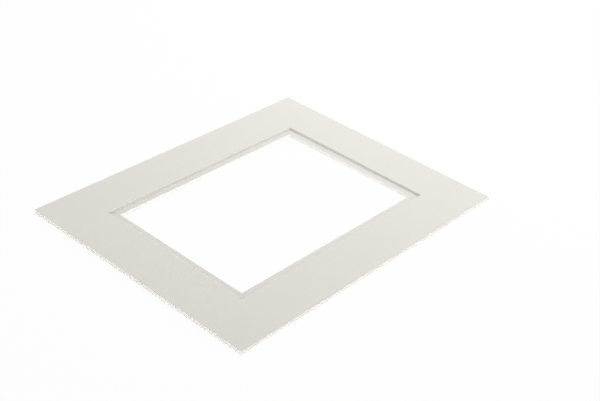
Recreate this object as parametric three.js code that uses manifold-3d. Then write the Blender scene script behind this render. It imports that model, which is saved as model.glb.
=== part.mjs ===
// Double picture mount: two bevel-cut mount boards, one on the other, held by strips of double-sided tape.
// Millimetres. +X runs along the short side, +Y along the long side, +Z out of the face.
// The origin is the middle of the back, on the surface that the mount lies on.
import * as THREE from 'three';
import { ConvexGeometry } from 'three/addons/geometries/ConvexGeometry.js';
import { mergeVertices } from 'three/addons/utils/BufferGeometryUtils.js';
import Module from 'manifold-3d';

// Outside of both boards
const mountWidth = 203.2;
const mountLength = 254;
const underBoardThickness = 1.4;
const topBoardThickness = 1.4;

// Picture opening in the middle of the under board, measured at its face
const openingWidth = 120;
const openingLength = 171.5;

// Strip of the under board left showing inside the top board's window, from face edge to face edge
const revealWidth = 5.8;

// Slope of the cut window edges, from the board's face
const bevelAngle = 45;

// Double-sided tape between the boards
const tapeThickness = 0.15;
const tapeWidth = 12;
const tapeToOuterEdge = 0.25;
const tapeEndGap = 4;

// How far the window cutter runs past each face of a board
const cutterOverrun = 2;

// Colours as they look on the real mount
const boardWhite = '#ebe8e1';
const tapeWhite = '#f2efe6';

// Heights of the layers above the surface
const tapeBottom = underBoardThickness;
const topBoardBottom = tapeBottom + tapeThickness;

const wasm = await Module();
wasm.setup();

// Solid of a closed geometry, with only its positions and shared corners
function solidOf(geometry) {
  geometry.deleteAttribute('normal');
  geometry.deleteAttribute('uv');
  const merged = mergeVertices(geometry);
  return new wasm.Manifold(new wasm.Mesh({
    numProp: 3,
    vertProperties: merged.attributes.position.array,
    triVerts: new Uint32Array(merged.index.array),
  }));
}

// Geometry of a solid, flat shaded
function geometryOf(solid) {
  const mesh = solid.getMesh();
  const geometry = new THREE.BufferGeometry();
  geometry.setAttribute('position', new THREE.BufferAttribute(mesh.vertProperties, 3));
  geometry.setIndex(new THREE.BufferAttribute(mesh.triVerts, 1));
  const flat = geometry.toNonIndexed();
  flat.computeVertexNormals();
  return flat;
}

// Named mesh of one piece
function piece(name, geometry, color, roughness) {
  const material = new THREE.MeshStandardMaterial({ color, roughness, metalness: 0 });
  const mesh = new THREE.Mesh(geometry, material);
  mesh.name = name;
  return mesh;
}

// Four corners of an upright rectangle about the middle, at one height
function windowCorners(width, length, height) {
  const corners = [[-1, -1], [1, -1], [1, 1], [-1, 1]];
  return corners.map(([sx, sy]) => new THREE.Vector3(sx * width / 2, sy * length / 2, height));
}

// Wedge-sided cutter of a window, whose width and length are those at the board's face
function windowCutter(width, length, bottom, face) {
  const spread = (height) => 2 * (height - face) / Math.tan(THREE.MathUtils.degToRad(bevelAngle));
  const heights = [bottom - cutterOverrun, face + cutterOverrun];
  const points = heights.flatMap((z) => windowCorners(width + spread(z), length + spread(z), z));
  return solidOf(new ConvexGeometry(points));
}

// Mount board with a bevel-cut window
function mountBoard(name, bottom, thickness, windowWidth, windowLength) {
  const blank = new THREE.BoxGeometry(mountWidth, mountLength, thickness);
  blank.translate(0, 0, bottom + thickness / 2);
  const cutter = windowCutter(windowWidth, windowLength, bottom, bottom + thickness);
  return piece(name, geometryOf(solidOf(blank).subtract(cutter)), boardWhite, 0.9);
}

// Straight strip of tape on the under board, centred on x and y
function tapeStrip(name, x, y, sizeX, sizeY) {
  const strip = new THREE.BoxGeometry(sizeX, sizeY, tapeThickness);
  strip.translate(x, y, tapeBottom + tapeThickness / 2);
  return piece(name, strip, tapeWhite, 0.7);
}

// Two long strips along the sides, and two short ones between them at the head and the foot
function tapeStrips() {
  const sideX = mountWidth / 2 - tapeToOuterEdge - tapeWidth / 2;
  const endY = mountLength / 2 - tapeToOuterEdge - tapeWidth / 2;
  const longRun = mountLength - 2 * tapeToOuterEdge;
  const shortRun = 2 * sideX - tapeWidth - 2 * tapeEndGap;
  return [
    tapeStrip('tape_left', -sideX, 0, tapeWidth, longRun),
    tapeStrip('tape_right', sideX, 0, tapeWidth, longRun),
    tapeStrip('tape_head', 0, endY, shortRun, tapeWidth),
    tapeStrip('tape_foot', 0, -endY, shortRun, tapeWidth),
  ];
}

const mount = new THREE.Group();
mount.add(mountBoard('under_mount', 0, underBoardThickness, openingWidth, openingLength));
mount.add(...tapeStrips());
mount.add(mountBoard(
  'top_mount',
  topBoardBottom,
  topBoardThickness,
  openingWidth + 2 * revealWidth,
  openingLength + 2 * revealWidth,
));

export default mount;
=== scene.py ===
"""Double picture mount on a white table, dressed and lit as for a plain product photograph.

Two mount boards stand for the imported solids. Each is built ply by ply from its section, with a
bevel-cut window.
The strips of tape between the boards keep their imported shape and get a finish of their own.
"""

import logging
import math
from dataclasses import dataclass, field
from enum import Enum

import bmesh
import bpy
from mathutils import Matrix, Vector


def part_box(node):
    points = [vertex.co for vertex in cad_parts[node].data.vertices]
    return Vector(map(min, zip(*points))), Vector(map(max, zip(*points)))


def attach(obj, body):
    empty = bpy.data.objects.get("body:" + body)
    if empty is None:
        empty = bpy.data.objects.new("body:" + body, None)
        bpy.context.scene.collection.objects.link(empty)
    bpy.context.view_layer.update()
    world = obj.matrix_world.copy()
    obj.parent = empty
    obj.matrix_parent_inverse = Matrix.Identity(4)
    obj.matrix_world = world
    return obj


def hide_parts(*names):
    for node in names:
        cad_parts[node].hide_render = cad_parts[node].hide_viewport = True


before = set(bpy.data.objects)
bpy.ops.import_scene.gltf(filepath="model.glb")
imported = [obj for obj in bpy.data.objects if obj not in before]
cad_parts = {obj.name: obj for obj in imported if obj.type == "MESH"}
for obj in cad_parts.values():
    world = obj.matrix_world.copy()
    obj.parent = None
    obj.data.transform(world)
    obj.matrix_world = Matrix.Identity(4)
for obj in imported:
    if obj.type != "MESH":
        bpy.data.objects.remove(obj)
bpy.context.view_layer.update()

LOG = logging.getLogger("double_picture_mount")
BODY = "root"
MM = 0.001
SHARP_ANGLE = math.radians(30)
ROUNDING_SEGMENTS = 3

Colour = tuple[float, float, float]


def linear(red: int, green: int, blue: int) -> Colour:
    """Turns a colour as a screen shows it into the linear values that a shader takes.

    Args:
        red: Red, 0 to 255.
        green: Green, 0 to 255.
        blue: Blue, 0 to 255.

    Returns:
        The three linear values, 0 to 1.
    """
    shares = (value / 255 for value in (red, green, blue))
    return tuple(s / 12.92 if s <= 0.04045 else ((s + 0.055) / 1.055) ** 2.4 for s in shares)


class Ply(Enum):
    """Layers of a mount board, in the order of its material slots."""

    BACKING = 0
    BEVEL = 1
    EDGE = 2
    FACING = 3


class Wire:
    """A shader output that takes part in Python arithmetic."""

    def __init__(self, graph: "Graph", socket: bpy.types.NodeSocket) -> None:
        """Keeps the graph that the socket belongs to, and the socket.

        Args:
            graph: Graph to add Math nodes to.
            socket: Output to wrap.
        """
        self.graph = graph
        self.socket = socket

    def _maths(self, operation: str, first: "Wire | float", second: "Wire | float") -> "Wire":
        """Adds one Math node.

        Args:
            operation: The Math node's operation.
            first: Its first operand.
            second: Its second operand.

        Returns:
            The result's wire.
        """
        return self.graph.node("ShaderNodeMath", {"operation": operation}, {0: first, 1: second})

    def __add__(self, other: "Wire | float") -> "Wire":
        """Sum of two values."""
        return self._maths("ADD", self, other)

    def __radd__(self, other: float) -> "Wire":
        """Sum of a number and this value."""
        return self._maths("ADD", other, self)

    def __sub__(self, other: "Wire | float") -> "Wire":
        """Difference of two values."""
        return self._maths("SUBTRACT", self, other)

    def __rsub__(self, other: float) -> "Wire":
        """Difference of a number and this value."""
        return self._maths("SUBTRACT", other, self)

    def __mul__(self, other: "Wire | float") -> "Wire":
        """Product of two values."""
        return self._maths("MULTIPLY", self, other)

    def __rmul__(self, other: float) -> "Wire":
        """Product of a number and this value."""
        return self._maths("MULTIPLY", other, self)


class Graph:
    """The node tree of a material or a world, built one node at a time."""

    def __init__(self, owner: bpy.types.Material | bpy.types.World) -> None:
        """Empties the owner's tree.

        Args:
            owner: Material or world whose nodes are written.
        """
        owner.use_nodes = True
        self.tree = owner.node_tree
        self.tree.nodes.clear()

    def node(self, kind: str, settings: dict, inputs: dict, output: int | str = 0) -> Wire:
        """Adds a node, sets it up and joins its inputs.

        Args:
            kind: The node's type.
            settings: Its properties by name.
            inputs: Values or wires by socket name or index.
            output: Name or index of the output to return.

        Returns:
            The chosen output's wire.
        """
        made = self.tree.nodes.new(kind)
        for name, value in settings.items():
            setattr(made, name, value)
        for key, value in inputs.items():
            if isinstance(value, Wire):
                self.tree.links.new(value.socket, made.inputs[key])
            else:
                made.inputs[key].default_value = value
        return Wire(self, made.outputs[output] if made.outputs else None)

    def position(self) -> Wire:
        """Place on the piece, in metres of the shared frame."""
        return self.node("ShaderNodeTexCoord", {}, {}, "Object")

    def noise(self, place: Wire, size: float, detail: float, rough: float = 0.5) -> Wire:
        """Adds soft noise between 0 and 1.

        Args:
            place: Coordinates to read.
            size: Width of its largest grains, in metres.
            detail: How many finer octaves it has.
            rough: How strong the finer octaves are.

        Returns:
            The noise's value.
        """
        inputs = {"Vector": place, "Scale": 1 / size, "Detail": detail, "Roughness": rough}
        return self.node("ShaderNodeTexNoise", {}, inputs, 0)

    def stretched(self, place: Wire, x: float, y: float, z: float, turn: float = 0) -> Wire:
        """Scales coordinates differently along each axis.

        Args:
            place: Coordinates to scale.
            x: Factor along X.
            y: Factor along Y.
            z: Factor along Z.
            turn: Turn about Z in degrees.

        Returns:
            The scaled coordinates.
        """
        inputs = {"Vector": place, "Rotation": (0, 0, math.radians(turn)), "Scale": (x, y, z)}
        return self.node("ShaderNodeMapping", {"vector_type": "TEXTURE"}, inputs)

    def tinted(self, colour: Colour, level: Wire) -> Wire:
        """Scales a colour.

        Args:
            colour: Linear colour.
            level: Factor for its brightness.

        Returns:
            The scaled colour.
        """
        return self.node("ShaderNodeVectorMath", {"operation": "SCALE"}, {0: colour, "Scale": level})

    def blend(self, factor: Wire | float, first: Wire | Colour, second: Wire | Colour) -> Wire:
        """Mixes two colours.

        Args:
            factor: Share of the second colour.
            first: Colour at 0.
            second: Colour at 1.

        Returns:
            The mixed colour.
        """
        opaque = [c if isinstance(c, Wire) else (*c, 1) for c in (first, second)]
        inputs = {0: factor, 6: opaque[0], 7: opaque[1]}
        return self.node("ShaderNodeMix", {"data_type": "RGBA"}, inputs, 2)

    def bump(self, distance: float, height: Wire) -> Wire:
        """Turns heights into a bumpy normal.

        Args:
            distance: How deep the bumps go, in metres.
            height: Height over the surface, as a share of that.

        Returns:
            The bumpy normal.
        """
        inputs = {"Strength": 1.0, "Distance": distance, "Height": height}
        return self.node("ShaderNodeBump", {}, inputs)

    def surface(self, shader: Wire, target: str = "ShaderNodeOutputMaterial") -> None:
        """Joins a shader to the tree's output.

        Args:
            shader: Shader to show.
            target: Type of the output node.
        """
        self.node(target, {}, {"Surface": shader})


@dataclass(frozen=True)
class Fleck:
    """A faint fibre speck pressed into the facing paper."""

    x: float
    y: float
    radius: float
    strength: float
    darkness: float = 0.45

    def mask(self, graph: Graph, place: Wire) -> Wire:
        """Marks where the fleck lies.

        Args:
            graph: Graph to add nodes to.
            place: Coordinates of the surface.

        Returns:
            Its strength over the surface, 0 outside it.
        """
        flat = graph.node("ShaderNodeVectorMath", {"operation": "MULTIPLY"}, {0: place, 1: (1, 1, 0)})
        centre = (self.x, self.y, 0)
        away = graph.node("ShaderNodeVectorMath", {"operation": "DISTANCE"}, {0: flat, 1: centre}, "Value")
        inner = 0.2 * self.radius
        limits = {"From Min": self.radius, "From Max": inner, "To Min": 0, "To Max": self.strength}
        smooth = {"interpolation_type": "SMOOTHSTEP"}
        return graph.node("ShaderNodeMapRange", smooth, {"Value": away, **limits})


@dataclass(frozen=True)
class PaperFinish:
    """Uncoated paper: cloudy formation, crossing fibres and a fine tooth."""

    name: str
    colour: Colour
    cloud_size: float = 18 * MM
    cloud_depth: float = 0.014
    fibre_length: float = 2.4 * MM
    fibre_width: float = 0.22 * MM
    fibre_depth: float = 0.035
    tooth_size: float = 0.45 * MM
    tooth_height: float = 0.025 * MM
    fibre_turns: tuple[float, ...] = (17, 74, 139)
    roughness: float = 0.88
    flecks: tuple[Fleck, ...] = ()

    def fibres(self, graph: Graph, place: Wire) -> Wire:
        """Crosses three sets of long thin noise, as paper fibres lie.

        Args:
            graph: Graph to add nodes to.
            place: Coordinates of the surface.

        Returns:
            The fibres' depth about 0.
        """
        slim = self.fibre_width / self.fibre_length
        sets = [
            graph.noise(graph.stretched(place, 1, slim, slim, turn), self.fibre_length, 2)
            for turn in self.fibre_turns
        ]
        return sets[0] + sets[1] + sets[2] - 1.5

    def material(self) -> bpy.types.Material:
        """Builds the material.

        Returns:
            The finished material.
        """
        made = bpy.data.materials.new(self.name)
        graph = Graph(made)
        place = graph.position()
        cloud = graph.noise(place, self.cloud_size, 3) - 0.5
        fibre = self.fibres(graph, place)
        tooth = graph.noise(place, self.tooth_size, 4, 0.6) - 0.5
        colour = graph.tinted(self.colour, 1 + 2 * self.cloud_depth * cloud + 2 * self.fibre_depth * fibre)
        for fleck in self.flecks:
            darker = tuple(fleck.darkness * value for value in self.colour)
            colour = graph.blend(fleck.mask(graph, place), colour, darker)
        height = tooth + 0.4 * fibre
        bump = graph.bump(self.tooth_height, height)
        rough = self.roughness + 0.1 * tooth
        inputs = {"Base Color": colour, "Roughness": rough, "Normal": bump, "Specular IOR Level": 0.25}
        graph.surface(graph.node("ShaderNodeBsdfPrincipled", {}, inputs))
        return made


@dataclass(frozen=True)
class CoreFinish:
    """Cut edge of pulp core: thin strata along the board, a soft grain and uneven drags of the blade."""

    name: str
    colour: Colour
    strata_height: float = 0.16 * MM
    strata_stretch: float = 40
    strata_depth: float = 0.035
    drag_length: float = 9 * MM
    drag_depth: float = 0.02
    grain_size: float = 0.3 * MM
    grain_height: float = 0.008 * MM
    roughness: float = 0.95

    def material(self) -> bpy.types.Material:
        """Builds the material.

        Returns:
            The finished material.
        """
        made = bpy.data.materials.new(self.name)
        graph = Graph(made)
        place = graph.position()
        along = graph.stretched(place, self.strata_stretch, self.strata_stretch, 1)
        strata = graph.noise(along, self.strata_height, 2) - 0.5
        grain = graph.noise(place, self.grain_size, 3, 0.6) - 0.5
        drag = graph.noise(place, self.drag_length, 3) - 0.5
        shade = 2 * self.strata_depth * (strata + 0.8 * grain) + 2 * self.drag_depth * drag
        colour = graph.tinted(self.colour, 1 + shade)
        height = grain + 0.8 * strata
        bump = graph.bump(self.grain_height, height)
        rough = self.roughness + 0.05 * grain
        inputs = {"Base Color": colour, "Roughness": rough, "Normal": bump, "Specular IOR Level": 0.2}
        graph.surface(graph.node("ShaderNodeBsdfPrincipled", {}, inputs))
        return made


@dataclass(frozen=True)
class TapeFinish:
    """Tissue soaked in clear adhesive: cloudy, slightly glossy and crinkled."""

    name: str = "adhesive_tissue"
    colour: Colour = linear(240, 236, 224)
    tissue_size: float = 3 * MM
    crinkle_size: float = 1.2 * MM
    crinkle_height: float = 0.03 * MM
    tissue_depth: float = 0.12
    roughness: float = 0.42
    roughness_spread: float = 0.25

    def material(self) -> bpy.types.Material:
        """Builds the material.

        Returns:
            The finished material.
        """
        made = bpy.data.materials.new(self.name)
        graph = Graph(made)
        place = graph.position()
        tissue = graph.noise(place, self.tissue_size, 5, 0.6) - 0.5
        crinkle = graph.noise(place, self.crinkle_size, 3)
        bump = graph.bump(self.crinkle_height, crinkle)
        colour = graph.tinted(self.colour, 1 + self.tissue_depth * tissue)
        rough = self.roughness + self.roughness_spread * tissue
        inputs = {"Base Color": colour, "Roughness": rough, "Normal": bump}
        graph.surface(graph.node("ShaderNodeBsdfPrincipled", {}, inputs))
        return made


@dataclass(frozen=True)
class Rectangle:
    """An upright rectangle seen from above."""

    low: Vector
    high: Vector

    def ring(self, bm: bmesh.types.BMesh, height: float) -> list[bmesh.types.BMEdge]:
        """Draws the rectangle as four edges at one height.

        Args:
            bm: Mesh to draw in.
            height: Height of the ring.

        Returns:
            Its edges.
        """
        size = self.high - self.low
        middle = (self.high + self.low) / 2
        place = Matrix.Translation((middle.x, middle.y, height)) @ Matrix.Diagonal((size.x, size.y, 1, 1))
        corners = bmesh.ops.create_grid(bm, x_segments=1, y_segments=1, size=0.5, matrix=place)["verts"]
        face = corners[0].link_faces[0]
        edges = list(face.edges)
        bmesh.ops.delete(bm, geom=[face], context="FACES_ONLY")
        return edges

    def towards(self, other: "Rectangle", share: float) -> "Rectangle":
        """Rectangle part of the way from this one to another.

        Args:
            other: Rectangle at a share of 1.
            share: How far to go.

        Returns:
            The rectangle between them.
        """
        return Rectangle(self.low.lerp(other.low, share), self.high.lerp(other.high, share))


@dataclass
class MountBoard:
    """One mount board: backing paper, core and facing paper, with a bevel-cut window."""

    name: str
    node: str
    bevel: CoreFinish
    edge: CoreFinish
    facing: PaperFinish
    backing: PaperFinish
    backing_ply: float = 0.18 * MM
    facing_ply: float = 0.22 * MM
    edge_rounding: float = 0.09 * MM
    outer: Rectangle = field(init=False)
    window_face: Rectangle = field(init=False)
    window_back: Rectangle = field(init=False)
    bottom: float = field(init=False)
    top: float = field(init=False)

    def __post_init__(self) -> None:
        """Takes the board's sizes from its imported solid."""
        low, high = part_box(self.node)
        self.outer = Rectangle(low.xy, high.xy)
        self.bottom, self.top = low.z, high.z
        self.window_face = self.window_at(self.top)
        self.window_back = self.window_at(self.bottom)

    def window_at(self, height: float) -> Rectangle:
        """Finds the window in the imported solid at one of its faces.

        Args:
            height: Height of the face.

        Returns:
            The window's rectangle there.
        """
        slack = 0.01 * MM
        places = [vertex.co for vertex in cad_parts[self.node].data.vertices]
        inner = [
            place.xy
            for place in places
            if abs(place.z - height) < slack
            and self.outer.low.x + slack < place.x < self.outer.high.x - slack
            and self.outer.low.y + slack < place.y < self.outer.high.y - slack
        ]
        low = Vector((min(p.x for p in inner), min(p.y for p in inner)))
        high = Vector((max(p.x for p in inner), max(p.y for p in inner)))
        return Rectangle(low, high)

    def section(self) -> list[tuple[Rectangle, float, Ply]]:
        """Goes once round the board's section.

        Returns:
            A rectangle, its height and the ply of the band that follows it, for each ring.
        """
        backing_top = self.bottom + self.backing_ply
        facing_bottom = self.top - self.facing_ply
        thickness = self.top - self.bottom
        window_at_facing = self.window_face.towards(self.window_back, self.facing_ply / thickness)
        window_at_backing = self.window_back.towards(self.window_face, self.backing_ply / thickness)
        return [
            (self.outer, self.bottom, Ply.BACKING),
            (self.outer, backing_top, Ply.EDGE),
            (self.outer, facing_bottom, Ply.FACING),
            (self.outer, self.top, Ply.FACING),
            (self.window_face, self.top, Ply.FACING),
            (window_at_facing, facing_bottom, Ply.BEVEL),
            (window_at_backing, backing_top, Ply.BACKING),
            (self.window_back, self.bottom, Ply.BACKING),
        ]

    def soften(self, bm: bmesh.types.BMesh) -> None:
        """Rounds the edges that handling and the knife leave soft.

        Args:
            bm: The board's mesh.
        """
        sharp = [edge for edge in bm.edges if edge.calc_face_angle(0) > SHARP_ANGLE]
        bmesh.ops.bevel(
            bm,
            geom=sharp,
            offset=self.edge_rounding,
            offset_type="OFFSET",
            affect="EDGES",
            segments=ROUNDING_SEGMENTS,
            profile=0.5,
            material=-1,
            clamp_overlap=True,
        )

    def build(self) -> bpy.types.Object:
        """Models the board.

        Returns:
            The board's object, at the origin.
        """
        bm = bmesh.new()
        section = self.section()
        rings = [rectangle.ring(bm, height) for rectangle, height, _ in section]
        for index, (_, _, ply) in enumerate(section):
            band = rings[index] + rings[(index + 1) % len(rings)]
            for face in bmesh.ops.bridge_loops(bm, edges=band)["faces"]:
                face.material_index = ply.value
        bmesh.ops.recalc_face_normals(bm, faces=bm.faces)
        self.soften(bm)
        mesh = bpy.data.meshes.new(self.name)
        bm.to_mesh(mesh)
        bm.free()
        board = bpy.data.objects.new(self.name, mesh)
        bpy.context.scene.collection.objects.link(board)
        return board

    def dress(self, board: bpy.types.Object) -> None:
        """Gives the board the finish of each ply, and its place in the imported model.

        Args:
            board: The board's object.
        """
        finishes = {
            Ply.BACKING: self.backing,
            Ply.BEVEL: self.bevel,
            Ply.EDGE: self.edge,
            Ply.FACING: self.facing,
        }
        for ply in Ply:
            board.data.materials.append(finishes[ply].material())
        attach(board, BODY)
        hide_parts(self.node)
        LOG.info("%s: %d faces", board.name, len(board.data.polygons))


@dataclass
class TapeStrips:
    """Strips of double-sided tape between the boards."""

    nodes: tuple[str, ...]
    finish: TapeFinish

    def dress(self) -> None:
        """Gives every strip the tape's finish."""
        material = self.finish.material()
        for name in self.nodes:
            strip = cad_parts[name]
            strip.data.materials.clear()
            strip.data.materials.append(material)
            LOG.info("%s: packed shape, %s", name, material.name)


@dataclass
class Studio:
    """White table, one large soft lamp and a pale room."""

    table_size: float = 8.0
    table_drop: float = 0.05 * MM
    table_white: float = 0.93
    table_glow: float = 0.94
    lamp_size: float = 0.6
    lamp_place: Vector = field(default_factory=lambda: Vector((-0.07, 0.53, 0.82)))
    lamp_level: float = 0.56
    room_overhead: float = 0.14
    room_horizon: float = 4.8
    room_falloff: float = 4.0

    def table(self) -> None:
        """Lays the table under the object."""
        bm = bmesh.new()
        place = Matrix.Translation((0, 0, -self.table_drop))
        bmesh.ops.create_grid(bm, x_segments=1, y_segments=1, size=self.table_size / 2, matrix=place)
        mesh = bpy.data.meshes.new("table")
        bm.to_mesh(mesh)
        bm.free()
        mesh.materials.append(self.table_material())
        table = bpy.data.objects.new("table", mesh)
        bpy.context.scene.collection.objects.link(table)

    def table_material(self) -> bpy.types.Material:
        """White surface that keeps shadows, and shows as bright white to the camera.

        Returns:
            The table's material.
        """
        made = bpy.data.materials.new("white_table")
        made.cycles.emission_sampling = "NONE"
        graph = Graph(made)
        white = (self.table_white,) * 3 + (1,)
        matt = graph.node("ShaderNodeBsdfDiffuse", {}, {"Color": white})
        glow = graph.node("ShaderNodeEmission", {}, {"Color": (1, 1, 1, 1), "Strength": 1.0})
        share = self.table_glow * self.seen(graph)
        graph.surface(graph.node("ShaderNodeMixShader", {}, {0: share, 1: matt, 2: glow}))
        return made

    def seen(self, graph: Graph) -> Wire:
        """Tells rays that look at the background from rays that light the object.

        Args:
            graph: Graph to add nodes to.

        Returns:
            1 for camera, glossy and transmission rays, else 0.
        """
        kinds = ("Camera", "Glossy", "Transmission")
        paths = [graph.node("ShaderNodeLightPath", {}, {}, f"Is {kind} Ray") for kind in kinds]
        shown = paths[0] + paths[1] + paths[2]
        return graph.node("ShaderNodeMath", {"operation": "MINIMUM"}, {0: shown, 1: 1.0})

    def lamp(self) -> None:
        """Hangs the soft lamp so that the object's middle gets its level."""
        data = bpy.data.lights.new("soft_lamp", "AREA")
        data.shape = "SQUARE"
        data.size = self.lamp_size
        reach = self.lamp_place.length
        data.energy = self.lamp_level * math.pi**2 * reach**3 / self.lamp_place.z
        lamp = bpy.data.objects.new("soft_lamp", data)
        lamp.location = self.lamp_place
        lamp.rotation_mode = "QUATERNION"
        lamp.rotation_quaternion = (-self.lamp_place).to_track_quat("-Z", "Y")
        bpy.context.scene.collection.objects.link(lamp)

    def room(self) -> None:
        """Lights the object from all round, brighter towards the horizon, before a white background."""
        world = bpy.data.worlds.new("pale_room")
        bpy.context.scene.world = world
        graph = Graph(world)
        ray = graph.node("ShaderNodeTexCoord", {}, {}, "Generated")
        split = graph.node("ShaderNodeSeparateXYZ", {}, {0: ray}, "Z")
        lowness = 1 - graph.node("ShaderNodeMath", {"operation": "MAXIMUM"}, {0: split, 1: 0.0})
        fading = graph.node("ShaderNodeMath", {"operation": "POWER"}, {0: lowness, 1: self.room_falloff})
        level = self.room_overhead + (self.room_horizon - self.room_overhead) * fading
        light = graph.node("ShaderNodeBackground", {}, {"Color": (1, 1, 1, 1), "Strength": level})
        white = graph.node("ShaderNodeBackground", {}, {"Color": (1, 1, 1, 1), "Strength": 1.0})
        shader = graph.node("ShaderNodeMixShader", {}, {0: self.seen(graph), 1: light, 2: white})
        graph.surface(shader, "ShaderNodeOutputWorld")


@dataclass(frozen=True)
class Viewpoint:
    """The photograph's camera, given about the frame's origin."""

    azimuth: float = 40.718
    elevation: float = 32.812
    roll: float = 4.245
    distance: float = 0.81554
    aside: float = 0.02237
    above: float = 0.00439
    lens: float = 68.80
    sensor: float = 36.0

    def camera(self) -> None:
        """Makes the camera and hands it to the scene."""
        turn, tilt, roll = (math.radians(value) for value in (self.azimuth, self.elevation, self.roll))
        back = Vector((math.sin(turn) * math.cos(tilt), -math.cos(turn) * math.cos(tilt), math.sin(tilt)))
        level_right = Vector((math.cos(turn), math.sin(turn), 0))
        level_up = back.cross(level_right)
        right = math.cos(roll) * level_right + math.sin(roll) * level_up
        up = math.cos(roll) * level_up - math.sin(roll) * level_right
        data = bpy.data.cameras.new("camera")
        data.sensor_fit = "HORIZONTAL"
        data.sensor_width = self.sensor
        data.lens = self.lens
        camera = bpy.data.objects.new("camera", data)
        place = self.distance * back + self.aside * right + self.above * up
        axes = Matrix((right, up, back)).transposed().to_4x4()
        camera.matrix_world = Matrix.Translation(place) @ axes
        bpy.context.scene.collection.objects.link(camera)
        bpy.context.scene.camera = camera


def main() -> None:
    """Builds the mount, the studio and the camera."""
    logging.basicConfig(level=logging.INFO, format="%(name)s: %(message)s")
    bpy.context.scene.view_settings.view_transform = "Standard"
    Viewpoint().camera()
    studio = Studio()
    studio.table()
    studio.lamp()
    studio.room()
    fleck = Fleck(88.7 * MM, 9.2 * MM, 0.9 * MM, 0.09)
    facing = PaperFinish("facing_paper", linear(231, 228, 221), flecks=(fleck,))
    under_facing = PaperFinish("under_facing_paper", linear(235, 232, 226))
    backing = PaperFinish("backing_paper", linear(232, 231, 227), tooth_height=0.02 * MM)
    white_core = CoreFinish("white_core", linear(252, 250, 245))
    # The top board's bevel takes the same core as its outer edges, darkened to grey: painted shade on the
    # bevel, not a darker pulp.
    painted_shade_bevel_core = CoreFinish("painted_shade_bevel_core", linear(203, 200, 193))
    cream_edge = CoreFinish("cream_edge", linear(243, 241, 236))
    boards = (
        MountBoard("under_board", "under_mount", white_core, white_core, under_facing, backing),
        MountBoard("top_board", "top_mount", painted_shade_bevel_core, cream_edge, facing, backing),
    )
    for board in boards:
        board.dress(board.build())
    strips = tuple(sorted(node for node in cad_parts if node.startswith("tape_")))
    TapeStrips(strips, TapeFinish()).dress()


if __name__ == "__main__":
    main()
